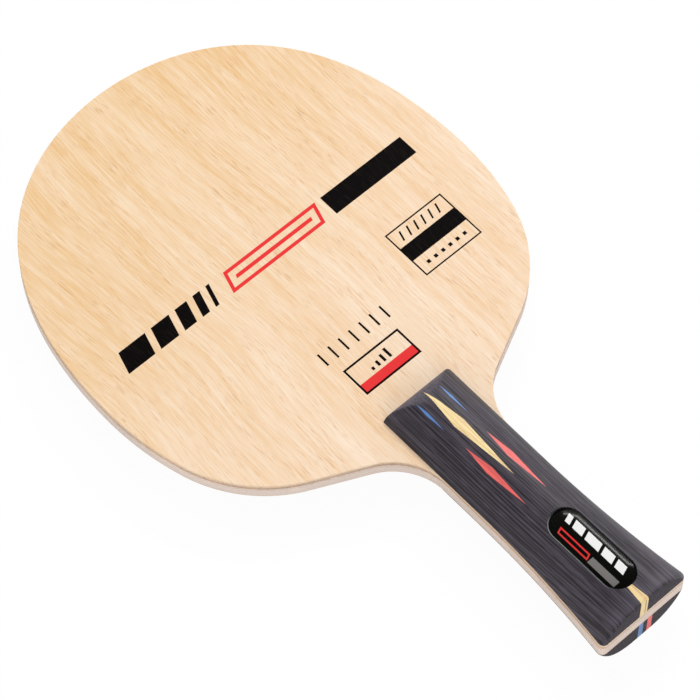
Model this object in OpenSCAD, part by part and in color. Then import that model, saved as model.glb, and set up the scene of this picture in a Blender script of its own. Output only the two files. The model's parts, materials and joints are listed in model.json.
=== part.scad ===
// Table tennis blade: a nine-layer laminated paddle with a flared two-scale handle.
// X runs across the head, Y along the handle towards the head's tip, Z out of the front face.
// The origin is the middle of the length, on the middle plane of the laminate.

/* [Head] */
// Greatest width of the head
head_w = 151.3; // [140:0.1:165]
// Length of the head, from the front end of the handle scales to the tip
head_l = 153.6; // [145:0.2:165]
// Distance of the widest line from the front end of the scales
widest_up = 61.1; // [56:0.1:66]
// Pull of the tip's curve along its start at the tip: more is flatter there
tip_pull = 25.5; // [15:0.5:40]
// Pull of the tip's curve along its end at the widest line: more is fuller at the corners
side_pull = 79.3; // [65:0.1:85]
// Radius of each side below the widest line
side_r = 105; // [90:1:120]
// Angle that the side's arc turns through
side_turn = 16.9; // [14:0.1:19]
// Radius of each lower shoulder
shoulder_r = 50.4; // [48:0.1:54]
// Angle that the shoulder's arc turns through
shoulder_turn = 47.2; // [44:0.1:50]
// Radius of the hollow between shoulder and handle
neck_r = 22.4; // [18:0.2:30]

/* [Laminate] */
// Thickness of each face veneer, under the scales
face_t = 0.6; // [0.4:0.05:1]
// Depth that the open part of a face is sanded below the scale seats
sanding = 0.08; // [0.04:0.02:0.2]
// Thickness of each second veneer
second_t = 1; // [0.4:0.05:1.4]
// Thickness of each fibre fleece
fleece_t = 0.25; // [0.1:0.05:0.4]
// Thickness of each inner veneer
inner_t = 0.4; // [0.3:0.05:1]
// Thickness of the core veneer
core_t = 2.2; // [1.8:0.1:4]

/* [Handle] */
// Length of the scales
handle_l = 102.4; // [96:0.2:108]
// Width of the handle at its waist and towards the head
waist_w = 28.4; // [26:0.1:30]
// Width of the handle at the butt
butt_w = 36.2; // [33:0.1:38]
// Distance of the waist from the butt
waist_y = 58; // [50:1:66]
// Radius of the butt's corners, seen from the front
corner_r = 2; // [1:0.1:4]
// Height of a scale's crown above its seat, at the butt
butt_h = 9.4; // [8.6:0.1:10]
// Height of the crown's line above the seat, at the front end
front_h = 7.9; // [7.2:0.1:8.4]
// Radius of the crown's edge at the butt
end_r = 1; // [0.6:0.2:3]
// Length over which the front end rolls down to the face
front_roll = 10; // [6:1:14]
// Height of the scale's thin front edge
front_lip = 0.6; // [0.4:0.1:1.2]
// Radius of the front end's corners, seen from the front
front_corner_r = 1.2; // [0.6:0.2:3]

/* [Inlays] */
// Length of the gold point on the centre line
gold_l = 41; // [30:1:48]
// Width of the gold point
gold_w = 4; // [2:0.2:5]
// Distance of the gold point's tip from the front end
gold_inset = 3; // [2:0.5:6]
// Length of each red point
red_l = 27; // [20:1:30]
// Width of each red point
red_w = 2.4; // [1.2:0.2:3]
// Distance of each red point from the centre line
red_x = 4.4; // [4.2:0.1:6]
// Distance of the red points' tips from the front end
red_inset = 27; // [20:1:29]
// Length of each blue point
blue_l = 13; // [8:1:14]
// Width of each blue point
blue_w = 1; // [0.6:0.1:1.4]
// Distance of each blue point from the centre line
blue_x = 5; // [4.5:0.1:7]
// Distance of the blue points' tips from the front end
blue_inset = 5; // [4:0.5:6]
// Place of the point where a lozenge is widest, from its tip towards its tail
point_peak = 0.4; // [0.3:0.05:0.6]
// Width of the gold wedge at the butt
wedge_w = 3.2; // [2:0.05:4]
// Distance of the gold wedge's middle from the centre line
wedge_x = -0.8; // [-1.5:0.05:1]
// Length of the gold wedge
wedge_l = 16; // [12:1:24]
// Thickness of the dark leaf in the gold wedge
leaf_t = 0.3; // [0.2:0.05:0.5]
// Distance of the dark leaf from the wedge's middle
leaf_x = 0.45; // [0.2:0.05:0.6]
// Width of each rear wedge at the butt
rear_wedge_w = 2; // [1:0.1:2.4]
// Length of each rear wedge
rear_wedge_l = 42; // [20:1:60]
// Distance between the middles of the two rear wedges
rear_wedge_step = 3.75; // [2.6:0.05:5]
// Distance of the rear pair's middle from the centre line
rear_wedge_x = 0.9; // [-2:0.1:2]

/* [Badge] */
// Length of the oval badge
badge_l = 34; // [26:0.2:36]
// Width of the badge
badge_w = 12; // [9:0.1:13]
// Distance of the badge's middle from the butt
badge_y = 23.7; // [22:0.1:28]
// Depth of the badge's recess below the crown line
badge_depth = 1.6; // [1.4:0.1:2]
// Clearance round the badge in its recess
badge_gap = 0.15; // [0.05:0.05:0.4]
// Thickness of the badge's backing plate
plate_t = 0.6; // [0.4:0.1:0.8]
// Height of the clear dome above the crown line
dome_rise = 0.1; // [0:0.05:0.15]
// Radius of the dome, across the badge
dome_r = 20; // [16:1:40]
// Radius of the dome, along the badge
dome_long_r = 320; // [240:10:400]

/* [Hidden] */

// Finishes
face_wood = [0.95, 0.83, 0.67];
second_wood = [0.86, 0.74, 0.6];
inner_wood = [0.84, 0.75, 0.68];
core_wood = [0.88, 0.79, 0.71];
fleece_brown = [0.4, 0.31, 0.25];
dyed_grey = [0.26, 0.24, 0.27];
gold = [0.95, 0.8, 0.42];
red = [0.9, 0.27, 0.25];
blue = [0.33, 0.5, 0.75];
dark_leaf = [0.3, 0.26, 0.16];
badge_black = [0.06, 0.06, 0.05];
clear = [0.85, 0.88, 0.9, 0.4];

// Smoothness of arcs, and how far a cutting shape runs past what it cuts
steps = 24;
past = 4;

// Lengths along the handle's axis are measured from the butt
overall = handle_l + head_l;
widest_y = handle_l + widest_up;

// Levels of the laminate above its middle plane
core_z = core_t / 2;
inner_z = core_z + inner_t;
fleece_z = inner_z + fleece_t;
second_z = fleece_z + second_t;
seat_z = second_z + face_t;

// The flank below the waist is one arc, tangent to the straight part above it
half_waist = waist_w / 2;
flare = (butt_w - waist_w) / 2;
flare_r = (waist_y * waist_y + flare * flare) / (2 * flare);
flare_centre = [half_waist + flare_r, waist_y];
corner_x = flare_centre.x - sqrt(pow(flare_r + corner_r, 2) - pow(waist_y - corner_r, 2));
flare_turn = atan2(waist_y - corner_r, flare_centre.x - corner_x);

// Lower shoulder of the head, from the widest line to the straight run into the neck
turn = side_turn + shoulder_turn;
side_centre = [head_w / 2 - side_r, widest_y];
shoulder_centre = side_centre + (side_r - shoulder_r) * [cos(side_turn), -sin(side_turn)];
shoulder_end = shoulder_centre + shoulder_r * [cos(turn), -sin(turn)];
neck_x = half_waist + neck_r;
run = (shoulder_end.x + neck_r * cos(turn) - neck_x) / sin(turn);
neck_centre = [neck_x, shoulder_end.y - run * cos(turn) - neck_r * sin(turn)];

// The crown falls evenly from the butt to the front end
fall = atan((butt_h - front_h) / handle_l);

// Half section of a scale at the waist: one arc, from the seat's edge to the level crown
waist_h = butt_h - waist_y * tan(fall);
crown_r = (half_waist * half_waist + waist_h * waist_h) / (2 * waist_h);
flank_lean = asin((crown_r - waist_h) / crown_r);

function arc(centre, r, from, to, n = steps) =
    [for (i = [0:n]) centre + r * [cos(from + (to - from) * i / n), sin(from + (to - from) * i / n)]];
function curve(a, b, c, d, n = 2 * steps) =
    [for (i = [0:n - 1]) let (t = i / n, s = 1 - t)
        s * s * s * a + 3 * s * s * t * b + 3 * s * t * t * c + t * t * t * d];
function mirrored(points) =
    concat(points, [for (i = [len(points) - 1:-1:0]) if (points[i].x > 0) [-points[i].x, points[i].y]]);
function section(depth) =
    concat([[0, -past]],
        arc([half_waist, waist_h - crown_r], crown_r, 180 - flank_lean, 90, 12),
        [[depth, waist_h], [depth, -past]]);

flank_points = concat(
    arc(flare_centre, flare_r, 180, 180 + flare_turn),
    arc([corner_x, corner_r], corner_r, flare_turn, -90, 6));
head_points = concat(
    curve([0, overall], [tip_pull, overall], [head_w / 2, widest_y + side_pull], [head_w / 2, widest_y]),
    arc(side_centre, side_r, 0, -side_turn, 8),
    arc(shoulder_centre, shoulder_r, -side_turn, -turn, 14),
    arc(neck_centre, neck_r, 180 - turn, 180, 12));
front_corner = [half_waist - front_corner_r, handle_l - front_corner_r];

// Puts a piece that is drawn from the butt into the part's own frame
module placed() translate([0, -overall / 2, 0]) children();

// Turns a piece of the front half over to the rear
module turned() mirror([0, 0, 1]) children();

module layer(from, to) translate([0, 0, from]) linear_extrude(to - from) children();

// Plan outlines
module blade_outline() polygon(mirrored(concat(head_points, flank_points)));

module scale_outline() polygon(mirrored(concat(arc(front_corner, front_corner_r, 90, 0, 4), flank_points)));

module lozenge(length, width)
    polygon([[0, 0], [width / 2, -length * point_peak], [0, -length], [-width / 2, -length * point_peak]]);

module pair(x) for (side = [-1, 1]) translate([side * x, 0]) children();

module gold_outline() translate([0, handle_l - gold_inset]) lozenge(gold_l, gold_w);

module red_outline() translate([0, handle_l - red_inset]) pair(red_x) lozenge(red_l, red_w);

module blue_outline() translate([0, handle_l - blue_inset]) pair(blue_x) lozenge(blue_l, blue_w);

module wedge(x, width, length) polygon([[x - width / 2, -past], [x + width / 2, -past],
    [x + width / 2, 0], [x, length], [x - width / 2, 0]]);

module leaf_outline() intersection() {
    wedge(wedge_x, wedge_w, wedge_l);
    translate([wedge_x + leaf_x, -past]) square([leaf_t, wedge_l + past]);
}

module rear_blue_outline() wedge(rear_wedge_x - rear_wedge_step / 2, rear_wedge_w, rear_wedge_l);

module rear_red_outline() wedge(rear_wedge_x + rear_wedge_step / 2, rear_wedge_w, rear_wedge_l);

module oval(length, width) union() {
    square([width, length - width], center = true);
    for (end = [-1, 1]) translate([0, end * (length - width) / 2]) circle(d = width, $fn = 64);
}

// One flank of a scale, revolved round the flare's centre and carried on straight past the waist
module flank() {
    depth = 2 * butt_w;
    translate(flare_centre) rotate([0, 0, 180]) rotate_extrude(angle = flare_turn + past, $fn = 720)
        translate([flare_r, 0]) polygon(section(depth));
    translate([half_waist, handle_l + past, 0]) rotate([90, 0, 0]) linear_extrude(handle_l + past - waist_y)
        mirror([1, 0]) polygon(section(depth));
}

// Side view of a scale: rounded at the butt, rolled down to the face at the front
module scale_profile() {
    roll_start = handle_l - front_roll;
    roll_top = butt_h - roll_start * tan(fall);
    polygon(concat(
        [[0, 0]],
        arc([end_r, butt_h - end_r], end_r, 180, 90, 6),
        [[end_r, butt_h + past], [roll_start, butt_h + past]],
        [for (i = [10:-1:0])
            [roll_start + front_roll * cos(9 * i), front_lip + (roll_top - front_lip) * sin(9 * i)]],
        [[handle_l, 0]]));
}

// Tips a piece about the waist, so that its crown falls towards the head
module fallen() translate([0, waist_y, 0]) rotate([-fall, 0, 0]) translate([0, -waist_y, 0]) children();

// A scale before its inlays are let in, seated at zero height
module scale_blank() intersection() {
    fallen() intersection() {
        flank();
        mirror([1, 0, 0]) flank();
    }
    translate([-butt_w, 0, 0]) rotate([90, 0, 90]) linear_extrude(2 * butt_w) scale_profile();
    layer(-past, butt_h + past) scale_outline();
}

// The badge's own frame: on the crown line, tilted with it
module on_crown() fallen() translate([0, badge_y, waist_h]) children();

module front_blank() difference() {
    scale_blank();
    on_crown() layer(-badge_depth, past) oval(badge_l + 2 * badge_gap, badge_w + 2 * badge_gap);
}

// What an inlay of this outline takes out of a scale, and its own solid
module through() layer(-past, butt_h + past) children();

module front_inlay() intersection() {
    front_blank();
    through() children();
}

module rear_inlay() intersection() {
    scale_blank();
    through() children();
}

// Raises a scale's piece to its seat on the laminate
module seated() placed() translate([0, 0, seat_z]) children();

// Laminate
module face_veneer() {
    layer(second_z, seat_z - sanding) blade_outline();
    layer(second_z, seat_z) scale_outline();
}

module second_veneer() layer(fleece_z, second_z) blade_outline();

module fleece() layer(inner_z, fleece_z) blade_outline();

module inner_veneer() layer(core_z, inner_z) blade_outline();

module front_face_veneer() color(face_wood) placed() face_veneer();

module front_second_veneer() color(second_wood) placed() second_veneer();

module front_fleece() color(fleece_brown) placed() fleece();

module front_inner_veneer() color(inner_wood) placed() inner_veneer();

module core_veneer() color(core_wood) placed() layer(-core_z, core_z) blade_outline();

module rear_inner_veneer() color(inner_wood) turned() placed() inner_veneer();

module rear_fleece() color(fleece_brown) turned() placed() fleece();

module rear_second_veneer() color(second_wood) turned() placed() second_veneer();

module rear_face_veneer() color(face_wood) turned() placed() face_veneer();

// Handle scales
module front_scale() color(dyed_grey) seated() difference() {
    front_blank();
    through() gold_outline();
    through() red_outline();
    through() blue_outline();
    through() wedge(wedge_x, wedge_w, wedge_l);
}

module rear_scale() color(dyed_grey) turned() seated() difference() {
    scale_blank();
    through() rear_blue_outline();
    through() rear_red_outline();
}

// Inlays
module gold_point() color(gold) seated() front_inlay() gold_outline();

module red_points() color(red) seated() front_inlay() red_outline();

module blue_points() color(blue) seated() front_inlay() blue_outline();

module gold_butt_wedge() color(gold) seated() difference() {
    front_inlay() wedge(wedge_x, wedge_w, wedge_l);
    through() leaf_outline();
}

module dark_butt_leaf() color(dark_leaf) seated() front_inlay() leaf_outline();

module rear_blue_wedge() color(blue) turned() seated() rear_inlay() rear_blue_outline();

module rear_red_wedge() color(red) turned() seated() rear_inlay() rear_red_outline();

// Badge
module badge_plate() color(badge_black) seated() on_crown()
    layer(-badge_depth, plate_t - badge_depth) oval(badge_l, badge_w);

// Side or end view of the clear dome: an arc over the badge, square below
module dome_view(width, r) {
    reach = width / 2 + badge_gap;
    half_turn = asin(reach / r);
    polygon(concat(arc([0, dome_rise - r], r, 90 + half_turn, 90 - half_turn, 14),
        [[reach, -badge_depth], [-reach, -badge_depth]]));
}

module badge_dome() color(clear) seated() on_crown() intersection() {
    layer(plate_t - badge_depth, past) oval(badge_l, badge_w);
    rotate([90, 0, 0]) linear_extrude(2 * badge_l, center = true) dome_view(badge_w, dome_r);
    rotate([90, 0, 90]) linear_extrude(2 * badge_w, center = true) dome_view(badge_l, dome_long_r);
}

front_face_veneer();
front_second_veneer();
front_fleece();
front_inner_veneer();
core_veneer();
rear_inner_veneer();
rear_fleece();
rear_second_veneer();
rear_face_veneer();
front_scale();
rear_scale();
gold_point();
red_points();
blue_points();
gold_butt_wedge();
dark_butt_leaf();
rear_blue_wedge();
rear_red_wedge();
badge_plate();
badge_dome();
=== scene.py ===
"""Looks of a table tennis blade: laminated head, inlaid two-scale handle and domed badge."""

import json
import math

import bmesh
import bpy
from bpy.props import FloatProperty, FloatVectorProperty, PointerProperty
from mathutils import Color, Matrix, Vector


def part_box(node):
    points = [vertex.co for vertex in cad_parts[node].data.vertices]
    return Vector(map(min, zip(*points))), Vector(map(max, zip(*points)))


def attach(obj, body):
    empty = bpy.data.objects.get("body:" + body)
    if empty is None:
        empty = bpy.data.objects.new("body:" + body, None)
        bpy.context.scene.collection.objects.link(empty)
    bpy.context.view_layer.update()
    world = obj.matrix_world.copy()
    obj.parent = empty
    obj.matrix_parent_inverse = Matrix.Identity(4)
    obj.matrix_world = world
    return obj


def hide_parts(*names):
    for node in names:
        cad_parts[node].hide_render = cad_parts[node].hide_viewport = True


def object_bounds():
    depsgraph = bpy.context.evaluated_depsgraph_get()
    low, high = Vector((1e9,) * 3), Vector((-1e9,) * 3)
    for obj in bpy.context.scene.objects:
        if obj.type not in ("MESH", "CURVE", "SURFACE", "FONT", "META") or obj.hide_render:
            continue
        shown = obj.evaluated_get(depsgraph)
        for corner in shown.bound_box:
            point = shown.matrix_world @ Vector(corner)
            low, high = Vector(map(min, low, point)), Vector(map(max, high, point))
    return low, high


bl_info = {
    "name": "Table Tennis Blade",
    "version": (1, 0, 0),
    "blender": (4, 5, 0),
    "location": "View3D > Sidebar > Blade",
    "description": "Builds a laminated table tennis blade with an inlaid flared handle",
    "category": "Object",
}

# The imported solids, loaded first so that sizes below can follow them
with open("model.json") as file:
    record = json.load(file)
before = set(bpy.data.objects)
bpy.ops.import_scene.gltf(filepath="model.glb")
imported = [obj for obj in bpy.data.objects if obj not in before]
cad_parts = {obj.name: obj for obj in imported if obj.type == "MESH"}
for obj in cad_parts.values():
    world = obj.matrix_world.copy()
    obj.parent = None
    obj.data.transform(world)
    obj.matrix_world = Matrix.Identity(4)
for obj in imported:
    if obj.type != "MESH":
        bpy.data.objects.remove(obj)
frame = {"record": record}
CAD_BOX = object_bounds()
SLOT_OF = {part["node"]: part["material_slot"] for part in frame["record"]["subparts"]}
BODY = "root"
REAR_WEDGES = ("rear_blue_wedge", "rear_red_wedge")

# Ends the names of finished pieces and finishes, apart from the solids' own
LOOK = "-look"

# Lengths are metres; patterns in the finishes are measured in millimetres
MM = 0.001
LAMINATE_LOW, LAMINATE_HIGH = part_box("core_veneer")
SCALE_LOW, SCALE_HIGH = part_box("front_scale")
BUTT_Y = LAMINATE_LOW.y
OPEN_FACE_Z = frame["record"]["mounts"][0]["pos_m"][2]

# How finely curves and the floor are divided
TIP_STEPS = 120
ARC_STEPS = 36
ROUND_STEPS = 5
CROWN_STEPS = 24
FRONT_STEPS = 26
DOME_STEPS = 16
STATION = 1.0 * MM
FLOOR_STEPS = 8

# Edges bent further than this stay sharp
SHARP_ANGLE = math.radians(38)

# Points closer together than this count as one
SAME_POINT = 0.001 * MM

# How far the plan of a wedge runs on past the butt
OVERRUN = 2 * MM

# Softness of a printed edge in millimetres, lean of printed bars, and plain white
PRINT_SOFT = 0.06
FACE_LEAN = 0.3
BADGE_LEAN = 0.35
WHITE = (1.0, 1.0, 1.0, 1.0)


# Kinds of property

def number(name, description, default, **kind):
    """A property that holds a number."""
    return FloatProperty(name=name, description=description, default=default, **kind)


def length(name, description, default):
    """A property that holds a length in metres."""
    return number(name, description, default, min=0.0, precision=5, subtype="DISTANCE", unit="LENGTH")


def angle(name, description, degrees):
    """A property that holds an angle."""
    return number(name, description, math.radians(degrees), subtype="ANGLE", unit="ROTATION")


def power(name, description, watts):
    """A property that holds a lamp's power."""
    return number(name, description, watts, min=0.0, subtype="POWER", unit="POWER")


def share(name, description, default):
    """A property that holds a share of a whole."""
    return number(name, description, default, min=0.0, max=1.0, subtype="FACTOR")


def spot(name, description, *point):
    """A property that holds a point in metres."""
    return FloatVectorProperty(name=name, description=description, size=3, default=point, subtype="XYZ",
                               unit="LENGTH")


def tint(name, description, *levels):
    """A property that holds a colour, given in levels from 0 to 255 as it should look."""
    return FloatVectorProperty(name=name, description=description, size=3, min=0.0, max=1.0,
                               default=[level / 255 for level in levels], subtype="COLOR_GAMMA")


# Sizes, colours and stage

class BladeHead(bpy.types.PropertyGroup):
    """Outline of the laminated head."""

    width: length("Width", "Greatest width of the head", LAMINATE_HIGH.x - LAMINATE_LOW.x)
    widest_up: length("Widest line", "Distance of the widest line from the scales' front end", 61.1 * MM)
    tip_pull: length("Tip pull", "Pull of the tip's curve along its start at the tip", 25.5 * MM)
    side_pull: length("Side pull", "Pull of the tip's curve along its end at the widest line", 79.3 * MM)
    side_r: length("Side radius", "Radius of each side below the widest line", 105 * MM)
    side_turn: angle("Side turn", "Angle that the side's arc turns through", 16.9)
    shoulder_r: length("Shoulder radius", "Radius of each lower shoulder", 50.4 * MM)
    shoulder_turn: angle("Shoulder turn", "Angle that the shoulder's arc turns through", 47.2)
    neck_r: length("Neck radius", "Radius of the hollow between shoulder and handle", 22.4 * MM)
    edge_r: length("Edge radius", "Rounding of the faces' sanded edges", 0.25 * MM)
    groove: length("Groove", "Depth of the fine groove between two layers", 0.02 * MM)


class BladeHandle(bpy.types.PropertyGroup):
    """Shape of the two handle scales."""

    full_length: length("Length", "Length of the scales", SCALE_HIGH.y - SCALE_LOW.y)
    waist_w: length("Waist width", "Width at the waist and towards the head", 28.4 * MM)
    butt_w: length("Butt width", "Width at the butt", 36.2 * MM)
    waist_y: length("Waist place", "Distance of the waist from the butt", 58 * MM)
    corner_r: length("Butt corners", "Radius of the butt's corners, seen from the front", 2 * MM)
    end_r: length("Butt rounding", "Radius of the crown's edge at the butt", 1 * MM)
    butt_h: length("Butt height", "Height of the crown above the seat, at the butt", 9.4 * MM)
    front_h: length("Front height", "Height of the crown's line at the front end", 7.9 * MM)
    front_roll: length("Front roll", "Length over which the front end rolls down", 10 * MM)
    front_lip: length("Front lip", "Height of the thin front edge", 0.6 * MM)
    front_corner_r: length("Front corners", "Radius of the front end's corners", 0.3 * MM)
    softness: length("Softness", "Sanding of the crease round the front roll", 0.4 * MM)


class BladeInlays(bpy.types.PropertyGroup):
    """Sizes of the inlays that their solids' boxes don't give."""

    point_peak: share("Peak", "Where a point is widest, from its tip", 0.4)
    red_w: length("Red width", "Width of each red point", 2.4 * MM)
    blue_w: length("Blue width", "Width of each blue point", 1 * MM)
    glue_line: length("Glue line", "Gap that the glue fills round an inlay", 0.02 * MM)
    badge_gap: length("Badge gap", "Clearance round the badge in its recess", 0.15 * MM)
    plate_edge: length("Plate edge", "Rounding of the badge plate's edges", 0.05 * MM)
    dome_edge: length("Dome rim", "Height of the dome's rim above its plate", 0.08 * MM)
    dome_foot: length("Dome foot", "Margin of the dome's flat underside inside its rim", 0.1 * MM)
    sunk: length("Dome seat", "Depth that the poured dome reaches into its plate", 0.05 * MM)


class BladeColours(bpy.types.PropertyGroup):
    """Colours of the woods, inks and badge."""

    face: tint("Face", "Face veneer where it is deepest in colour", 238, 200, 146)
    face_pale: tint("Face pale", "Face veneer where it is palest", 254, 230, 206)
    face_light: tint("Face light", "Pale streaks of the face veneer", 255, 236, 214)
    face_dark: tint("Face dark", "Tan streaks of the face veneer", 237, 192, 136)
    face_edge: tint("Face edge", "Sanded edge of the face veneer", 242, 211, 177)
    pore: tint("Pore", "Pores of the face veneer", 204, 148, 92)
    second: tint("Second veneer", "Edge of the second veneer", 230, 196, 166)
    inner: tint("Inner veneer", "Edge of the inner veneer", 240, 210, 188)
    core: tint("Core", "Edge of the core", 246, 219, 200)
    edge_end: tint("End grain", "Sanded end grain of the hidden layers", 224, 206, 194)
    edge_rear: tint("Rear edge", "Paler edge of the rear layers", 241, 225, 216)
    fleece: tint("Fleece", "Edge of the fibre fleece", 165, 135, 112)
    dyed: tint("Dyed wood", "Handle scales", 75, 68, 78)
    # Also the colour of the painted highlights on the front roll and the top near the butt
    dyed_pale_and_highlight: tint("Dyed light", "Pale lines of the handle scales", 128, 121, 136)
    dyed_dark: tint("Dyed dark", "Dark lines of the handle scales", 34, 30, 35)
    gold: tint("Gold", "Gold inlays", 255, 219, 160)
    red: tint("Red", "Red inlays", 243, 106, 102)
    blue: tint("Blue", "Blue inlays", 88, 130, 190)
    leaf: tint("Leaf", "Leaf in the gold wedge, along its grain", 240, 206, 146)
    leaf_end: tint("Leaf end", "Leaf in the gold wedge, cut across its grain", 116, 80, 40)
    ink_black: tint("Black ink", "Black print on the face", 8, 5, 5)
    ink_red: tint("Red ink", "Red print on the face", 237, 58, 60)
    badge: tint("Badge", "Badge backing", 12, 13, 9)
    badge_white: tint("Badge white", "White print on the badge", 250, 250, 248)
    badge_red: tint("Badge red", "Red print on the badge", 232, 60, 62)
    badge_grey: tint("Badge grey", "Grey print on the badge", 128, 124, 122)
    # Colour of the painted highlight on the dome's rim
    badge_rim_highlight: tint("Badge rim", "Rim of the badge's clear dome", 190, 196, 194)


class BladeStage(bpy.types.PropertyGroup):
    """Camera, lamps and floor."""

    azimuth: angle("Azimuth", "Camera's turn about the upright", -42.33)
    elevation: angle("Elevation", "Camera's height above the horizon", 60.14)
    distance: length("Distance", "Camera's distance from the point it looks at", 1200 * MM)
    aim: spot("Aim", "Point that the camera looks at", -3.07 * MM, 1.98 * MM, 0)
    lens: number("Lens", "Focal length", 194.45, min=1.0, subtype="DISTANCE_CAMERA", unit="CAMERA")
    zenith: number("Zenith", "Strength of the sky's light from straight above", 0.12, min=0.0)
    horizon: number("Horizon", "Strength of the sky's light from the horizon", 1.15, min=0.0)
    key: power("Key", "Power of the key lamp", 41.0)
    key_place: spot("Key place", "Middle of the key lamp", 1.99, 1.1, 1.965)
    key_width: length("Key width", "Width of the key lamp", 1.6)
    key_height: length("Key height", "Height of the key lamp", 0.12)
    fill: power("Fill", "Power of the fill lamp", 20.0)
    fill_place: spot("Fill place", "Middle of the fill lamp", 0.5, 1.3, 2.65)
    fill_width: length("Fill width", "Width and height of the fill lamp", 1.0)
    front: power("Front", "Power of the low front lamp", 9.0)
    front_place: spot("Front place", "Middle of the low front lamp", -0.9, -1.66, 0.68)
    front_width: length("Front width", "Width and height of the low front lamp", 1.0)
    floor_shade: share("Floor shade", "Lightness of the floor", 0.7)
    floor_size: length("Floor size", "Side of the floor", 6.0)
    backdrop: number("Backdrop", "Strength of the white that the floor shows", 1.02, min=0.0)
    shadow: share("Shadow", "Share of the floor that shows its shadow", 0.06)


# Shader trees

class Value:
    """A socket in a shader tree: arithmetic on numbers adds Math nodes."""

    def __init__(self, nodes, socket):
        self.nodes = nodes
        self.socket = socket

    def math(self, operation, first, second=0.0):
        return self.nodes.node("ShaderNodeMath", {"operation": operation}, {0: first, 1: second})

    def __add__(self, other):
        return self.math("ADD", self, other)

    __radd__ = __add__

    def __sub__(self, other):
        return self.math("SUBTRACT", self, other)

    def __rsub__(self, other):
        return self.math("SUBTRACT", other, self)

    def __mul__(self, other):
        return self.math("MULTIPLY", self, other)

    __rmul__ = __mul__

    def __truediv__(self, other):
        return self.math("DIVIDE", self, other)

    def __rtruediv__(self, other):
        return self.math("DIVIDE", other, self)

    def __abs__(self):
        return self.math("ABSOLUTE", self)

    def __or__(self, other):
        return self.math("MAXIMUM", self, other)

    __ror__ = __or__


class Nodes:
    """A node tree with one method that adds any node, and the patterns made with it."""

    def __init__(self, tree):
        self.tree = tree
        tree.nodes.clear()

    def node(self, kind, settings=None, sockets=None, output=0):
        """Adds a node, sets it up, feeds its sockets and returns one of its outputs."""
        made = self.tree.nodes.new(kind)
        for name, value in (settings or {}).items():
            setattr(made, name, value)
        for key, value in (sockets or {}).items():
            if isinstance(value, Value):
                self.tree.links.new(value.socket, made.inputs[key])
            else:
                made.inputs[key].default_value = value
        return Value(self, made.outputs[output]) if made.outputs else None

    def scaled(self, vector, factors, offset=0.0):
        """A vector times these factors, plus an offset along each axis."""
        return self.node("ShaderNodeVectorMath", {"operation": "MULTIPLY_ADD"},
                         {0: vector, 1: factors, 2: (offset, offset, offset)})

    def place(self):
        """Position on the part, in millimetres."""
        metres = self.node("ShaderNodeTexCoord", output="Object")
        return self.scaled(metres, (1 / MM, 1 / MM, 1 / MM))

    def axes(self, vector):
        return [self.node("ShaderNodeSeparateXYZ", {}, {0: vector}, axis) for axis in "XYZ"]

    def noise(self, vector, across, along, upright=None, detail=2.0, seed=0.0):
        """Noise with patches of these sizes in millimetres: across the grain, along it and upright."""
        factors = (1 / across, 1 / along, 1 / (upright or across))
        return self.node("ShaderNodeTexNoise", {"noise_dimensions": "3D"},
                         {"Vector": self.scaled(vector, factors, seed), "Scale": 1.0, "Detail": detail})

    def spread(self, value, low, high):
        """Stretches low to high over 0 to 1, with soft ends."""
        return self.node("ShaderNodeMapRange", {"interpolation_type": "SMOOTHSTEP"},
                         {"Value": value, "From Min": low, "From Max": high})

    def mix(self, factor, first, second):
        """Mixes two colours, each from a node or from a property."""
        first, second = (c if isinstance(c, Value) else linear(c) for c in (first, second))
        return self.node("ShaderNodeMix", {"data_type": "RGBA"}, {0: factor, 6: first, 7: second}, 2)

    def bump(self, height, depth):
        """A normal bent by a height, where 1 stands for this depth in metres."""
        return self.node("ShaderNodeBump", {}, {"Height": height, "Strength": 1.0, "Distance": depth})

    def surface(self, **sockets):
        """A principled surface; a socket's name is written with underscores."""
        named = {name.replace("_", " "): value for name, value in sockets.items()}
        shader = self.node("ShaderNodeBsdfPrincipled", {}, named)
        self.node("ShaderNodeOutputMaterial", {}, {"Surface": shader})


def linear(colour):
    """A colour property as a shader's colour."""
    return (*Color(colour).from_srgb_to_scene_linear(), 1.0)


def shaded(colour, factor):
    """A colour property made darker or lighter."""
    return [min(1.0, level * factor) for level in colour]


def new_material(name):
    """An empty material that uses nodes."""
    material = bpy.data.materials.new(name + LOOK)
    material.use_nodes = True
    return material


def end_grain(nodes):
    """1 where a surface is cut across the grain."""
    _, along, _ = nodes.axes(nodes.node("ShaderNodeNewGeometry", output="Normal"))
    return nodes.spread(abs(along), 0.85, 0.98)


def band(nodes, value, low, high):
    """1 between low and high, 0 outside, with the soft edges of print."""
    middle, half = (low + high) / 2, (high - low) / 2
    return nodes.spread(abs(value - middle), half + PRINT_SOFT, half - PRINT_SOFT)


def block(nodes, x, y, box):
    """1 inside a rectangle given as left, right, bottom, top."""
    left, right, bottom, top = box
    return band(nodes, x, left, right) * band(nodes, y, bottom, top)


def outline_box(nodes, x, y, box, line):
    """1 on the line round a rectangle."""
    left, right, bottom, top = box
    inside = (left + line, right - line, bottom + line, top - line)
    return block(nodes, x, y, box) * (1 - block(nodes, x, y, inside))


def strokes(nodes, x, y, first, step, count, width, bottom, top):
    """1 on a row of equal upright strokes."""
    last = first + step * (count - 1)
    wave = nodes.node("ShaderNodeMath", {"operation": "PINGPONG"}, {0: x - first, 1: step / 2})
    near = nodes.spread(wave, width / 2 + PRINT_SOFT, width / 2 - PRINT_SOFT)
    return near * band(nodes, x, first - width, last + width) * band(nodes, y, bottom, top)


# Finishes

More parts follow.
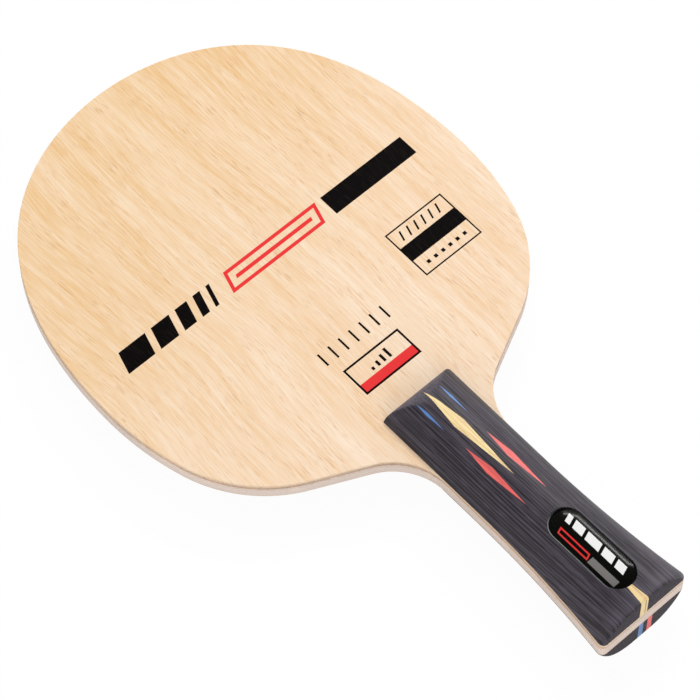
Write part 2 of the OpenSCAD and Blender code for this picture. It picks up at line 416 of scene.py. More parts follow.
def face_wood(nodes, colours, printed):
    """Fine-sanded pale veneer: broad soft streaks, fine lines and short pores along the grain."""
    place = nodes.place()
    sway = nodes.noise(place, 40, 70, detail=1.0, seed=3.1)
    bent = nodes.node("ShaderNodeVectorMath", {"operation": "ADD"},
                      {0: place, 1: nodes.node("ShaderNodeCombineXYZ", {}, {0: sway * 9.0})})
    broad = nodes.spread(nodes.noise(bent, 9, 90, detail=3.0), 0.34, 0.68)
    streak = nodes.spread(nodes.noise(bent, 1.7, 40, detail=3.0, seed=7.7), 0.32, 0.7)
    line = nodes.spread(nodes.noise(bent, 0.45, 13, detail=1.0, seed=1.3), 0.42, 0.68)
    pale = nodes.spread(nodes.noise(bent, 0.6, 13, detail=1.0, seed=12.5), 0.45, 0.68)
    pore = nodes.spread(nodes.noise(bent, 0.3, 5.0, detail=1.0, seed=5.9), 0.56, 0.7)
    crowd = nodes.spread(nodes.noise(bent, 6, 34, detail=1.0, seed=9.4), 0.42, 0.66)
    x, y, z = nodes.axes(place)
    # Deeper in colour towards the tip and the left, paler towards the neck and the right
    ground = nodes.mix(nodes.spread(x * 0.4 - y, -130, 30), colours.face, colours.face_pale)
    tone = nodes.mix(broad * 0.5 + streak * 0.5, colours.face_dark, colours.face_light)
    tone = nodes.mix(0.5, tone, ground)
    tone = nodes.mix(line * 0.3, tone, colours.face_dark)
    tone = nodes.mix(pale * 0.35, tone, colours.face_light)
    tone = nodes.mix(pore * (0.14 + crowd * 0.3), tone, colours.pore)
    # Below the rounded edge the veneer shows its sanded side
    open_face = OPEN_FACE_Z / MM
    edge = nodes.spread(abs(z), open_face - 0.28, open_face - 0.5)
    # The rear face's sanded edge is darkened to 0.82: painted shade along the blade's lower edge
    rim = nodes.mix(nodes.spread(z, 1, -1), colours.face_edge, shaded(colours.edge_rear, 0.82))
    rim = nodes.mix(end_grain(nodes) * 0.8, rim, colours.edge_end)
    tone = nodes.mix(edge * (0.7 + streak * 0.2), tone, rim)
    height = streak * 0.3 + line * 0.4 - pore * 0.8
    rough = 0.5 + line * 0.08 + pore * 0.12
    if printed:
        black, red = face_print(nodes, x, y)
        # Ink lies a little thinner over the pores
        cover = 1 - pore * 0.01
        tone = nodes.mix(red * cover, tone, colours.ink_red)
        tone = nodes.mix(black * cover, tone, colours.ink_black)
        rough = rough - (black | red) * 0.1
    nodes.surface(Base_Color=tone, Roughness=rough, Specular_IOR_Level=0.03,
                  Normal=nodes.bump(height, 0.012 * MM))


def face_print(nodes, x, y):
    """Plain marks printed on the front face, in black and in red, with no lettering."""
    # A row of leaning bars, a solid bar and a red frame with a line in it
    row = (41, 49.1)
    slant = x - (y - 45) * FACE_LEAN
    black = block(nodes, x, y, (26.7, 61.8, *row))
    for left, right in ((-60.5, -49.5), (-47, -39.5), (-37, -32), (-29.5, -26.5), (-24, -22.5)):
        black = black | block(nodes, slant, y, (left, right, *row))
    red = outline_box(nodes, slant, y, (-16.5, 23, *row), 1.3)
    red = red | block(nodes, slant, y, (-13, 19.5, 44.4, 45.8))
    # A square label with a dark band between two rows of strokes
    sides = (32.3, 56.6)
    black = black | outline_box(nodes, x, y, (*sides, 4.3, 24.3), 0.55)
    black = black | block(nodes, x, y, (*sides, 11.3, 17.3))
    black = black | strokes(nodes, x - (y - 20.6) * FACE_LEAN, y, 36.5, 3.15, 6, 0.7, 18.8, 22.5)
    black = black | strokes(nodes, x, y, 36.5, 3.15, 6, 1.3, 7.2, 8.5)
    # A box with a red foot and four rising steps, under a row of strokes
    sides = (-11.3, 12.1)
    red = red | block(nodes, x, y, (*sides, -15.1, -11.1))
    black = black | outline_box(nodes, x, y, (*sides, -15.1, -3.6), 0.75)
    for step in range(4):
        left = -3.9 + 2.4 * step
        black = black | block(nodes, x, y, (left, left + 1, -9.9, -8.7 + 0.9 * step))
    black = black | strokes(nodes, x, y, -13.1, 4.4, 7, 0.75, 1.0, 6.2)
    return black, red


def edge_wood(nodes, colours, layer, contrast):
    """Sanded edge of a hidden layer: end grain as speckle, side grain as streaks."""
    colour = getattr(colours, layer)
    place = nodes.place()
    fibre = nodes.spread(nodes.noise(place, 0.5, 7, detail=2.0), 0.32, 0.7)
    patch = nodes.spread(nodes.noise(place, 5, 22, detail=2.0, seed=4.2), 0.35, 0.65)
    vessel = nodes.spread(nodes.noise(place, 0.3, 2.5, detail=1.0, seed=8.6), 0.6, 0.7)
    tone = nodes.mix(fibre * 0.6 + patch * 0.4, shaded(colour, 1 - contrast),
                     shaded(colour, 1 + contrast / 2))
    tone = nodes.mix(vessel * 0.35, tone, shaded(colour, 1 - 2.2 * contrast))
    _, _, z = nodes.axes(place)
    tone = nodes.mix(nodes.spread(z, 1.4, -1.4) * 0.8, tone, colours.edge_rear)
    tone = nodes.mix(end_grain(nodes) * 0.6, tone, colours.edge_end)
    nodes.surface(Base_Color=tone, Roughness=0.62 + fibre * 0.12,
                  Normal=nodes.bump(fibre * 0.5 - vessel * 0.7, 0.02 * MM))


def dyed_wood(nodes, colours):
    """Grey-black dyed wood of many thin layers, satin, with fine straight lines along the grain."""
    place = nodes.place()
    layer = nodes.spread(nodes.noise(place, 0.36, 90, 4, detail=0.0), 0.4, 0.6)
    wide = nodes.spread(nodes.noise(place, 2.2, 300, 2.2, detail=1.0, seed=6.3), 0.32, 0.68)
    fleck = nodes.spread(nodes.noise(place, 0.4, 6, 2, detail=0.0, seed=2.4), 0.52, 0.7)
    pore = nodes.spread(nodes.noise(place, 0.4, 9, 2, detail=0.0, seed=9.9), 0.56, 0.7)
    grain = nodes.spread(nodes.noise(place, 0.6, 0.6, detail=1.0, seed=3.8), 0.38, 0.62)
    end = end_grain(nodes)
    _, y, _ = nodes.axes(place)
    _, ahead, up = nodes.axes(nodes.node("ShaderNodeNewGeometry", output="Normal"))
    roll = nodes.spread(ahead, 0, 0.6) * (1 - end)
    cut = end + roll * 0.6
    # The last millimetres of the top are painted paler: a painted highlight along the butt's top edge
    butt = BUTT_Y / MM
    painted_butt_highlight = nodes.spread(y, butt + 9, butt) * nodes.spread(abs(up), 0.55, 0.95)
    lines = (layer * 0.88 + wide * 0.12) * (1 - cut) + (0.35 + grain * 0.35) * cut
    tone = nodes.mix(lines, colours.dyed_dark, colours.dyed)
    tone = nodes.mix(fleck * (1 - end) * 0.12, tone, colours.dyed_pale_and_highlight)
    tone = nodes.mix(pore * (1 - end) * 0.12, tone, colours.dyed_dark)
    # The front roll is painted paler, partly for its slanted cut through the layers and partly as a painted
    # highlight from light on the head side; the top near the butt gets a painted highlight too
    tone = nodes.mix(roll * (0.12 + grain * 0.2) + painted_butt_highlight * 0.2, tone, colours.dyed_pale_and_highlight)
    nodes.surface(Base_Color=tone, Roughness=0.5 + layer * 0.1 + end * 0.2, Specular_IOR_Level=0.0,
                  Coat_Weight=(0.5 - pore * 0.15) * (1 - end), Coat_Roughness=0.46, Coat_IOR=1.45,
                  Sheen_Weight=0.18, Sheen_Roughness=0.5,
                  Normal=nodes.bump(layer * 0.4 + fleck * 0.2 - pore * 0.6, 0.006 * MM))


def dyed_veneer(nodes, colours, dye, end=None):
    """Bright dyed veneer of an inlay: fine lines, a few darker pores and the colour of its end grain."""
    colour = getattr(colours, dye)
    place = nodes.place()
    line = nodes.spread(nodes.noise(place, 0.4, 14, detail=2.0), 0.34, 0.68)
    pore = nodes.spread(nodes.noise(place, 0.25, 3.5, detail=1.0, seed=3.3), 0.6, 0.7)
    tone = nodes.mix(line, shaded(colour, 0.92), shaded(colour, 1.06))
    tone = nodes.mix(pore * 0.3, tone, shaded(colour, 0.7))
    if end:
        tone = nodes.mix(end_grain(nodes), tone, getattr(colours, end))
    nodes.surface(Base_Color=tone, Roughness=0.44 + line * 0.1 + pore * 0.1,
                  Normal=nodes.bump(line * 0.4 - pore * 0.6, 0.015 * MM))


def badge_axes(nodes):
    """Places across and along the badge, from its middle, and its bow: 0 on its axis and 1 at its rim."""
    low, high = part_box("badge_plate")
    middle, half = (low + high) / (2 * MM), (high - low) / (2 * MM)
    x, y, _ = nodes.axes(nodes.place())
    across, along = x - middle.x, y - middle.y
    past = (abs(along) - (half.y - half.x)) | 0.0
    return across, along, (across * across + past * past) / half.x ** 2


def badge_black(nodes, colours):
    """Black backing with plain printed stripes and the bowed gloss that its dome gives it."""
    across, along, bow = badge_axes(nodes)
    lean = along - across * BADGE_LEAN
    grain = nodes.spread(nodes.noise(nodes.place(), 0.8, 0.8, detail=2.0), 0.3, 0.7)
    white = 0.0
    for first, last in ((-13, -9.2), (-8, -3.4), (-2.2, 3.8), (5, 9.2), (10.4, 12.4)):
        white = block(nodes, lean, across, (first, last, 0.6, 3.5)) | white
    red = outline_box(nodes, lean, across, (-0.4, 12.6, -4, -1.7), 0.55)
    grey = block(nodes, along, across, (-13.8, -2.2, -4.3, -1.8))
    tone = nodes.mix(white, colours.badge, colours.badge_white)
    tone = nodes.mix(red, tone, colours.badge_red)
    tone = nodes.mix(grey, tone, colours.badge_grey)
    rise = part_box("badge_dome")[1].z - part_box("badge_plate")[1].z
    nodes.surface(Base_Color=tone, Roughness=0.09 + grain * 0.03, IOR=1.5, Specular_IOR_Level=0.05,
                  Normal=nodes.bump(1 - bow, rise))


def badge_clear(nodes, colours):
    """Clear cast resin, seen by a painted highlight: a pale line on its rim, strongest on the left side."""
    across, _, bow = badge_axes(nodes)
    ripple = nodes.noise(nodes.place(), 6, 8, detail=1.0)
    # Painted highlight on the rim's left side, where the resin is also drawn less clear
    rim = nodes.spread(bow, 0.86, 0.95) * nodes.spread(across, 4, -4)
    tone = nodes.mix(rim, colours.badge, colours.badge_rim_highlight)
    nodes.surface(Base_Color=tone, Roughness=0.16 + ripple * 0.06, IOR=1.5, Specular_IOR_Level=0.2,
                  Alpha=0.05 + rim * 0.4)


# For each finish, the function that makes it and what else that takes
FINISHES = {
    "face_wood": (face_wood, False),
    "printed_face_wood": (face_wood, True),
    "second_wood": (edge_wood, "second", 0.14),
    "inner_wood": (edge_wood, "inner", 0.12),
    "core_wood": (edge_wood, "core", 0.12),
    "fleece": (edge_wood, "fleece", 0.3),
    "dyed_wood": (dyed_wood,),
    "gold_wood": (dyed_veneer, "gold"),
    "red_wood": (dyed_veneer, "red"),
    "blue_wood": (dyed_veneer, "blue"),
    "leaf_wood": (dyed_veneer, "leaf", "leaf_end"),
    "badge_black": (badge_black,),
    "badge_clear": (badge_clear,),
}


def finish(name, colours):
    """The finish of this name, made once."""
    material = bpy.data.materials.get(name + LOOK)
    if material is None:
        material = new_material(name)
        make, *values = FINISHES[name]
        make(Nodes(material.node_tree), colours, *values)
    return material


# Curves

def quarter(count):
    """Angles of a quarter turn, in equal steps."""
    return [math.pi / 2 * i / count for i in range(count + 1)]


def direction(turn):
    """Unit vector at an angle in radians from +X."""
    return Vector((math.cos(turn), math.sin(turn)))


def arc(centre, radius, start, end, count=ARC_STEPS):
    """Points of an arc between two angles in radians, measured from +X."""
    turns = [start + (end - start) * i / count for i in range(count + 1)]
    return [Vector((centre[0] + radius * math.cos(t), centre[1] + radius * math.sin(t))) for t in turns]


def curve(*pulls):
    """Points of a cubic curve between two ends, given with its pulls."""
    parts = [i / TIP_STEPS for i in range(TIP_STEPS + 1)]
    rows = [((1 - t) ** 3, 3 * t * (1 - t) ** 2, 3 * t * t * (1 - t), t ** 3) for t in parts]
    return [sum((weight * Vector(pull) for weight, pull in zip(row, pulls)), Vector((0, 0)))
            for row in rows]


def joined(*runs):
    """Runs of points as one line, without the points that two runs share."""
    line = []
    for point in (p for run in runs for p in run):
        if not line or (point - line[-1]).length > SAME_POINT:
            line.append(point)
    return line


def mirrored(line):
    """A line from the axis down one side, closed by its mirror image."""
    return line + [Vector((-p.x, p.y)) for p in reversed(line) if p.x > SAME_POINT]


def inset(loop, distance):
    """A closed loop moved inwards, to its own left or right as its winding needs."""
    count = len(loop)
    area = sum(loop[i - 1].x * loop[i].y - loop[i].x * loop[i - 1].y for i in range(count))
    side = math.copysign(distance, area)
    moved = []
    for i, point in enumerate(loop):
        along = (loop[(i + 1) % count] - loop[i - 1]).normalized()
        moved.append(point + side * Vector((-along.y, along.x)))
    return moved


def fillet(radius, depth):
    """How far a rounded edge falls back at this depth from the end."""
    if depth >= radius:
        return 0.0
    return radius - math.sqrt(radius ** 2 - (radius - depth) ** 2)


def soft_least(a, b, width):
    """The lesser of two heights, with a rounded change from one to the other."""
    blend = max(width - abs(a - b), 0.0)
    return min(a, b) - (blend ** 2 / (4 * width) if width > 0 else 0.0)


class HandleForm:
    """The handle's curves, measured from the butt and from the scale's seat."""

    def __init__(self, sizes):
        self.sizes = sizes
        self.half_waist = sizes.waist_w / 2
        flare = (sizes.butt_w - sizes.waist_w) / 2
        self.flare_r = (sizes.waist_y ** 2 + flare ** 2) / (2 * flare)
        self.flare_x = self.half_waist + self.flare_r
        self.slope = (sizes.butt_h - sizes.front_h) / sizes.full_length
        reach, rise = self.flare_r + sizes.corner_r, sizes.waist_y - sizes.corner_r
        self.corner_x = self.flare_x - math.sqrt(reach ** 2 - rise ** 2)
        self.corner_turn = math.atan2(rise, self.flare_x - self.corner_x)
        self.corner_end = sizes.corner_r * (1 + math.sin(self.corner_turn))
        self.seat = OPEN_FACE_Z - SCALE_LOW.z

    def half_width(self, y):
        """Half the width of the flare, without the butt's corners."""
        if y >= self.sizes.waist_y:
            return self.half_waist
        return self.flare_x - math.sqrt(self.flare_r ** 2 - (self.sizes.waist_y - y) ** 2)

    def crown(self, y):
        """Height of the crown's line above the seat."""
        return self.sizes.butt_h - y * self.slope

    def flank(self):
        """Plan line of one side, from the waist to the middle of the butt."""
        sizes, turn = self.sizes, self.corner_turn
        flare = arc((self.flare_x, sizes.waist_y), self.flare_r, math.pi, math.pi + turn, 2 * ARC_STEPS)
        corner = arc((self.corner_x, sizes.corner_r), sizes.corner_r, turn, -math.pi / 2, 2 * ROUND_STEPS)
        return joined(flare, corner)

    def seat_half(self, y):
        """Half the width on the seat, with the butt's rounded corners."""
        if y >= self.corner_end:
            return self.half_width(y)
        radius = self.sizes.corner_r
        return self.corner_x + math.sqrt(radius ** 2 - (radius - y) ** 2)

    def front_top(self, y):
        """Height of the front roll and the softness of its crease; no limit behind the roll."""
        sizes = self.sizes
        start = sizes.full_length - sizes.front_roll
        if y <= start:
            return sizes.butt_h * 2, 0.0
        part = min((y - start) / sizes.front_roll, 1.0)
        top = sizes.front_lip + (self.crown(start) - sizes.front_lip) * math.sqrt(1 - part ** 2)
        return top, sizes.softness * min(1.0, 2 * part)

    def section(self, y):
        """Closed section across the scale at a distance from the butt."""
        sizes = self.sizes
        width, crown = self.seat_half(y), self.crown(y) - fillet(sizes.end_r, y)
        squeeze = 1 - fillet(sizes.front_corner_r, sizes.full_length - y) / width
        flat = self.half_width(y) - self.half_waist
        radius = ((width - flat) ** 2 + crown ** 2) / (2 * crown)
        start = math.asin((radius - crown) / radius)
        crest = arc((flat, crown - radius), radius, start, math.pi / 2, CROWN_STEPS)
        side = [Vector((width, self.seat))] + crest[:-1] + [Vector((0, crown))]
        top, softness = self.front_top(y)
        half = [Vector((p.x * squeeze, soft_least(p.y, top, softness))) for p in side]
        return [Vector((p.x, y, p.y)) for p in half + [Vector((-p.x, p.y)) for p in reversed(half[:-1])]]

    def stations(self):
        """Places of the sections, close together on the two rounded ends."""
        sizes = self.sizes
        start = sizes.full_length - sizes.front_roll
        count = round((start - self.corner_end) / STATION)
        butt = [self.corner_end * (1 - math.cos(t)) for t in quarter(2 * ROUND_STEPS)]
        middle = [self.corner_end + (start - self.corner_end) * i / count for i in range(1, count)]
        front = [start + sizes.front_roll * math.sin(t) for t in quarter(FRONT_STEPS)]
        return butt + middle + front


def blade_outline(head, form):
    """Closed outline of the laminate, head and tang in one."""
    half, widest = head.width / 2, form.sizes.full_length + head.widest_up
    top, turn = LAMINATE_HIGH.y - BUTT_Y, head.side_turn + head.shoulder_turn
    tip = curve((0, top), (head.tip_pull, top), (half, widest + head.side_pull), (half, widest))
    side = Vector((half - head.side_r, widest))
    shoulder = side + (head.side_r - head.shoulder_r) * direction(-head.side_turn)
    end = shoulder + head.shoulder_r * direction(-turn)
    neck_x = form.half_waist + head.neck_r
    run = (end.x + head.neck_r * math.cos(turn) - neck_x) / math.sin(turn)
    neck = (neck_x, end.y - run * math.cos(turn) - head.neck_r * math.sin(turn))
    return mirrored(joined(
        tip,
        arc(side, head.side_r, 0, -head.side_turn),
        arc(shoulder, head.shoulder_r, -head.side_turn, -turn, 2 * ARC_STEPS),
        arc(neck, head.neck_r, math.pi - turn, math.pi, 2 * ARC_STEPS),
        form.flank()))


# Meshes

def as_mesh(name, shape):
    """A mesh made from a working shape, which is then freed."""
    mesh = bpy.data.meshes.new(name)
    shape.to_mesh(mesh)
    shape.free()
    return mesh


def loft(name, rings):
    """A closed solid through rings of equal count, with a face over each end."""
    shape = bmesh.new()
    loops = [[shape.verts.new(point) for point in ring] for ring in rings]
    for one, other in zip(loops, loops[1:]):
        for i in range(len(one)):
            shape.faces.new((one[i - 1], one[i], other[i], other[i - 1]))
    for end in (loops[0], loops[-1]):
        shape.faces.new(end)
    bmesh.ops.recalc_face_normals(shape, faces=shape.faces)
    return as_mesh(name, shape)


def level(loop, height, distance=0.0):
    """A plan loop at a height, moved inwards by a distance."""
    return [Vector((p.x, p.y, height)) for p in (inset(loop, distance) if distance else loop)]


def prism(loop, low, high):
    """An upright solid on a plan loop."""
    return loft("prism", [level(loop, low), level(loop, high)])


def carved(mesh, operation, *cutters):
    """The mesh after a Boolean with each cutter in turn."""
    for cutter in cutters:
        body, tool = (bpy.data.objects.new(part.name, part) for part in (mesh, cutter))
        for part in (body, tool):
            bpy.context.scene.collection.objects.link(part)
        change = body.modifiers.new("carve", "BOOLEAN")
        change.operation, change.object, change.solver = operation, tool, "EXACT"
        bpy.context.view_layer.update()
        mesh = bpy.data.meshes.new_from_object(body.evaluated_get(bpy.context.evaluated_depsgraph_get()))
        for part in (body, tool):
            bpy.data.objects.remove(part)
    return mesh


def placed(mesh, seat, rear=False):
    """A mesh measured from the butt and a seat, moved to its place on the front or the rear."""
    flip = Matrix.Scale(-1, 4, (0, 0, 1)) if rear else Matrix.Identity(4)
    mesh.transform(flip @ Matrix.Translation((0, BUTT_Y, seat)))
    if rear:
        mesh.flip_normals()
    return mesh


def piece(node, mesh, colours, look=None):
    """A finished piece that stands for a CAD node."""
    mesh.name = node + LOOK
    mesh.materials.clear()
    mesh.materials.append(finish(look or SLOT_OF[node], colours))
    mesh.shade_smooth()
    mesh.set_sharp_from_angle(angle=SHARP_ANGLE)
    made = bpy.data.objects.new(node + LOOK, mesh)
    bpy.context.scene.collection.objects.link(made)
    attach(made, BODY)
    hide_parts(node)


def rounded_levels(loop, low, high, low_r, high_r):
    """Rings of a flat layer whose lower and upper edges are rounded, with a flat margin inside them."""
    falls = [(1 - math.sin(t), 1 - math.cos(t)) for t in quarter(ROUND_STEPS)]
    rings = [level(loop, low, 2 * low_r)]
    rings += [level(loop, low + low_r * fall, low_r * back) for fall, back in reversed(falls)]
    rings += [level(loop, high - high_r * fall, high_r * back) for fall, back in falls]
    return rings + [level(loop, high, 2 * high_r)]


def stadium(middle, width, height):
    """A plan oval with round ends, long in Y."""
    reach = (height - width) / 2
    ends = (arc((middle.x, middle.y + reach), width / 2, 0, math.pi),
            arc((middle.x, middle.y - reach), width / 2, math.pi, 2 * math.pi))
    return [point for end in ends for point in end]


# Inlays and badge

def lozenge(x, tip, tail, width, peak):
    """Plan of a point with two sharp ends, widest at its peak."""
    waist = tip - (tip - tail) * peak
    return [Vector(p) for p in ((x, tip), (x + width / 2, waist), (x, tail), (x - width / 2, waist))]


def plan_box(node):
    """A CAD node's box in plan, with lengths measured from the butt: left, right, bottom, top."""
    low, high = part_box(node)
    return low.x, high.x, low.y - BUTT_Y, high.y - BUTT_Y


def wedge(node):
    """Plan of a wedge that comes to a point, from its CAD box, run on past the butt."""
    left, right, bottom, top = plan_box(node)
    tip = ((left + right) / 2, top)
    return [Vector(p) for p in ((left, -OVERRUN), (right, -OVERRUN), (right, bottom), tip, (left, bottom))]


def point_plans(inlays):
    """Plans of the points let into the front scale, by node."""
    left, right, tail, tip = plan_box("gold_point")
    plans = {"gold_point": [lozenge(0, tip, tail, right - left, inlays.point_peak)]}
    for node, width in (("red_points", inlays.red_w), ("blue_points", inlays.blue_w)):
        left, right, tail, tip = plan_box(node)
        plans[node] = [lozenge(x, tip, tail, width, inlays.point_peak)
                       for x in (left + width / 2, right - width / 2)]
    return plans


def leaf_plan():
    """Plan of the thin leaf in the gold wedge, run on past the butt."""
    left, right, _, top = plan_box("dark_butt_leaf")
    return [Vector(p) for p in ((left, -OVERRUN), (right, -OVERRUN), (right, top), (left, top))]


def through(loop, form):
    """A cutter of this plan through the full height of a scale."""
    return prism(loop, -form.sizes.butt_h, 2 * form.sizes.butt_h)


def scale_blank(form):
    """A scale before anything is let into it."""
    return loft("scale_blank", [form.section(y) for y in form.stations()])


def badge_plan(form):
    """The badge's middle, width and length in plan, and how far half of it falls with the crown."""
    low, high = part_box("badge_plate")
    middle = Vector(((low.x + high.x) / 2, (low.y + high.y) / 2 - BUTT_Y))
    return middle, high.x - low.x, high.y - low.y, (high.y - low.y) * form.slope / 2


def badge_recess(form, inlays):
    """Cutter for the badge's recess, down to the plate's underside."""
    middle, width, height, sag = badge_plan(form)
    gap = 2 * inlays.badge_gap
    cutter = prism(stadium(middle, width + gap, height + gap), 0, 2 * form.sizes.butt_h)
    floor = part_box("badge_plate")[0].z - SCALE_LOW.z + sag
    cutter.transform(Matrix.Translation((0, 0, floor)) @ tilt(middle, form))
    return cutter


def tilt(middle, form):
    """Leans a flat piece with the crown's line, about the middle of its length."""
    there = Matrix.Translation((middle.x, middle.y, 0))
    return there @ Matrix.Rotation(-math.atan(form.slope), 4, "X") @ there.inverted()


def front_blank(form, inlays):
    """The front scale with the badge's recess alone."""
    return carved(scale_blank(form), "DIFFERENCE", badge_recess(form, inlays))


def handle_settings(context):
    """The handle's curves, the inlays' sizes and the colours."""
    scene = context.scene
    return HandleForm(scene.blade_handle), scene.blade_inlays, scene.blade_colours


# Operators

class BLADE_OT_laminate(bpy.types.Operator):
    """Builds the nine layers of the laminate"""

    bl_idname = "blade.laminate"
    bl_label = "Laminate"

    def execute(self, context):
        scene = context.scene
        head, colours = scene.blade_head, scene.blade_colours
        outline = blade_outline(head, HandleForm(scene.blade_handle))
        for node in sorted(n for n in SLOT_OF if n.endswith(("_veneer", "_fleece"))):
            low, high = (corner.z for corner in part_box(node))
            edges = [head.groove, head.groove]
            look = None
            if node == "front_face_veneer":
                high, edges[1], look = OPEN_FACE_Z, head.edge_r, "printed_face_wood"
            if node == "rear_face_veneer":
                low, edges[0] = -OPEN_FACE_Z, head.edge_r
            piece(node, placed(loft(node, rounded_levels(outline, low, high, *edges)), 0), colours, look)
        return {"FINISHED"}


class BLADE_OT_scales(bpy.types.Operator):
    """Builds the two handle scales, with windows for their inlays"""

    bl_idname = "blade.scales"
    bl_label = "Handle Scales"

    def execute(self, context):
        form, inlays, colours = handle_settings(context)
        windows = [plan for plans in point_plans(inlays).values() for plan in plans]
        windows.append(wedge("gold_butt_wedge"))
        front = carved(front_blank(form, inlays), "DIFFERENCE", *(through(plan, form) for plan in windows))
        piece("front_scale", placed(front, SCALE_LOW.z), colours)
        rear = carved(scale_blank(form), "DIFFERENCE", *(through(wedge(node), form) for node in REAR_WEDGES))
        piece("rear_scale", placed(rear, SCALE_LOW.z, rear=True), colours)
        return {"FINISHED"}


class BLADE_OT_points(bpy.types.Operator):
    """Builds the coloured points let into the front scale"""

    bl_idname = "blade.points"
    bl_label = "Inlaid Points"

    def execute(self, context):
        form, inlays, colours = handle_settings(context)
        blank = scale_blank(form)
        for node, plans in point_plans(inlays).items():
            shape = bmesh.new()
            for plan in plans:
                cutter = through(inset(plan, inlays.glue_line), form)
                shape.from_mesh(carved(blank.copy(), "INTERSECT", cutter))
            piece(node, placed(as_mesh(node, shape), SCALE_LOW.z), colours)
        return {"FINISHED"}


class BLADE_OT_butt_wedges(bpy.types.Operator):
    """Builds the wedges that show as stripes on the butt"""

    bl_idname = "blade.butt_wedges"
    bl_label = "Butt Wedges"

    def execute(self, context):
        form, inlays, colours = handle_settings(context)
        glue = inlays.glue_line
        front, rear = front_blank(form, inlays), scale_blank(form)
        gold = carved(front.copy(), "INTERSECT", through(inset(wedge("gold_butt_wedge"), glue), form))
        leaf = carved(gold.copy(), "INTERSECT", through(inset(leaf_plan(), glue), form))
        gold = carved(gold, "DIFFERENCE", through(leaf_plan(), form))
        piece("gold_butt_wedge", placed(gold, SCALE_LOW.z), colours)
        piece("dark_butt_leaf", placed(leaf, SCALE_LOW.z), colours)
        for node in REAR_WEDGES:
            stripe = carved(rear.copy(), "INTERSECT", through(inset(wedge(node), glue), form))
            piece(node, placed(stripe, SCALE_LOW.z, rear=True), colours)
        return {"FINISHED"}


class BLADE_OT_badge(bpy.types.Operator):
    """Builds the badge's backing plate and its clear dome"""

    bl_idname = "blade.badge"
    bl_label = "Badge"

    def execute(self, context):
        form, inlays, colours = handle_settings(context)
        middle, width, height, sag = badge_plan(form)
        low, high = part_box("badge_plate")
        bottom, top = low.z + sag, high.z - sag
        loop = stadium(middle, width, height)
        lean = tilt(middle, form)
        edge = inlays.plate_edge
        plate = loft("badge_plate", rounded_levels(loop, bottom, top, edge, edge))
        plate.transform(lean)
        piece("badge_plate", placed(plate, 0), colours)
        peak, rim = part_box("badge_dome")[1].z - sag, top + inlays.dome_edge
        rings = [level(loop, top - inlays.sunk, inlays.dome_foot), level(loop, top - inlays.sunk)]
        for i in range(DOME_STEPS):
            part = i / DOME_STEPS
            ring = stadium(middle, width * (1 - part), height - width * part)
            rings.append(level(ring, rim + (peak - rim) * part * (2 - part)))
        dome = loft("badge_dome", rings)
        dome.transform(lean)
        piece("badge_dome", placed(dome, 0), colours)
        return {"FINISHED"}


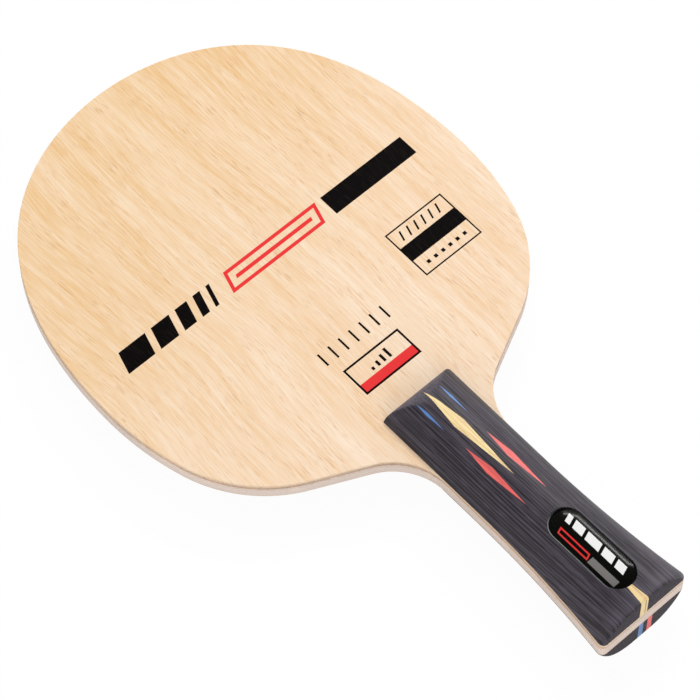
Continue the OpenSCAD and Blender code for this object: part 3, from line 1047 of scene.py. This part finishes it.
class BLADE_OT_stage(bpy.types.Operator):
    """Sets up the floor, the soft light and the camera"""

    bl_idname = "blade.stage"
    bl_label = "Stage"

    def execute(self, context):
        stage = context.scene.blade_stage
        context.scene.view_settings.view_transform = "Standard"
        self.floor(context, stage)
        self.sky(context, stage)
        heights = {"key": stage.key_height, "fill": stage.fill_width, "front": stage.front_width}
        for name, height in heights.items():
            self.lamp(context, stage, name, height)
        self.camera(context, stage)
        return {"FINISHED"}

    @staticmethod
    def seen(nodes):
        """1 for rays that show the background: from the camera, or by way of gloss or glass."""
        camera, gloss, glass = (nodes.node("ShaderNodeLightPath", output="Is %s Ray" % kind)
                                for kind in ("Camera", "Glossy", "Transmission"))
        return camera | gloss | glass

    def floor(self, context, stage):
        """A plain pale floor that keeps a share of the object's shadow."""
        shape = bmesh.new()
        bmesh.ops.create_grid(shape, x_segments=FLOOR_STEPS, y_segments=FLOOR_STEPS,
                              size=stage.floor_size / 2)
        mesh = as_mesh("floor", shape)
        mesh.transform(Matrix.Translation((0, 0, CAD_BOX[0].z)))
        material = new_material("floor")
        nodes = Nodes(material.node_tree)
        matt = nodes.node("ShaderNodeBsdfDiffuse", {}, {"Color": (*[stage.floor_shade] * 3, 1.0)})
        white = nodes.node("ShaderNodeEmission", {}, {"Color": WHITE, "Strength": stage.backdrop})
        both = nodes.node("ShaderNodeMixShader", {},
                          {0: self.seen(nodes) * (1 - stage.shadow), 1: matt, 2: white})
        nodes.node("ShaderNodeOutputMaterial", {}, {"Surface": both})
        mesh.materials.append(material)
        floor = bpy.data.objects.new("floor", mesh)
        context.scene.collection.objects.link(floor)

    def sky(self, context, stage):
        """Soft light from all round, strongest near the horizon, where it is white."""
        world = bpy.data.worlds.new("sky")
        world.use_nodes = True
        nodes = Nodes(world.node_tree)
        _, _, rise = nodes.axes(nodes.node("ShaderNodeTexCoord", output="Generated"))
        strength = stage.horizon + abs(rise) * (stage.zenith - stage.horizon)
        lit = nodes.node("ShaderNodeBackground", {}, {"Color": WHITE, "Strength": strength})
        nodes.node("ShaderNodeOutputWorld", {}, {"Surface": lit})
        context.scene.world = world

    @staticmethod
    def lamp(context, stage, name, height):
        """A soft lamp that faces the origin; only the key lamp is mirrored in gloss."""
        place = getattr(stage, name + "_place")
        light = bpy.data.lights.new(name, "AREA")
        light.shape, light.energy = "RECTANGLE", getattr(stage, name)
        light.size, light.size_y = getattr(stage, name + "_width"), height
        lamp = bpy.data.objects.new(name, light)
        lamp.location = place
        lamp.visible_glossy = name == "key"
        lamp.rotation_euler = Vector(place).to_track_quat("Z", "Y").to_euler()
        context.scene.collection.objects.link(lamp)

    @staticmethod
    def camera(context, stage):
        lens = bpy.data.cameras.new("camera")
        lens.lens = stage.lens
        camera = bpy.data.objects.new("camera", lens)
        camera.rotation_euler = (math.pi / 2 - stage.elevation, 0, stage.azimuth)
        back = camera.rotation_euler.to_matrix() @ Vector((0, 0, 1))
        camera.location = Vector(stage.aim) + stage.distance * back
        context.scene.collection.objects.link(camera)
        context.scene.camera = camera


# Sidebar and registration

GROUPS = {
    "blade_head": BladeHead, "blade_handle": BladeHandle, "blade_inlays": BladeInlays,
    "blade_colours": BladeColours, "blade_stage": BladeStage,
}
OPERATORS = [BLADE_OT_stage, BLADE_OT_laminate, BLADE_OT_scales, BLADE_OT_points, BLADE_OT_butt_wedges,
             BLADE_OT_badge]


class BLADE_PT_sidebar(bpy.types.Panel):
    """Lists the blade's pieces and sizes"""

    bl_idname = "BLADE_PT_sidebar"
    bl_label = "Table Tennis Blade"
    bl_space_type = "VIEW_3D"
    bl_region_type = "UI"
    bl_category = "Blade"

    def draw(self, context):
        for operator in OPERATORS:
            self.layout.operator(operator.bl_idname)
        for name, group in GROUPS.items():
            column = self.layout.column()
            column.label(text=name.removeprefix("blade_").capitalize())
            for size in group.__annotations__:
                column.prop(getattr(context.scene, name), size)


def register():
    for group in GROUPS.values():
        bpy.utils.register_class(group)
    for name, group in GROUPS.items():
        setattr(bpy.types.Scene, name, PointerProperty(type=group))
    for shown in (*OPERATORS, BLADE_PT_sidebar):
        bpy.utils.register_class(shown)


def unregister():
    for shown in (BLADE_PT_sidebar, *reversed(OPERATORS)):
        bpy.utils.unregister_class(shown)
    for name, group in GROUPS.items():
        delattr(bpy.types.Scene, name)
        bpy.utils.unregister_class(group)


def main():
    register()
    bpy.ops.blade.stage()
    bpy.ops.blade.laminate()
    bpy.ops.blade.scales()
    bpy.ops.blade.points()
    bpy.ops.blade.butt_wedges()
    bpy.ops.blade.badge()


if __name__ == "__main__":
    main()
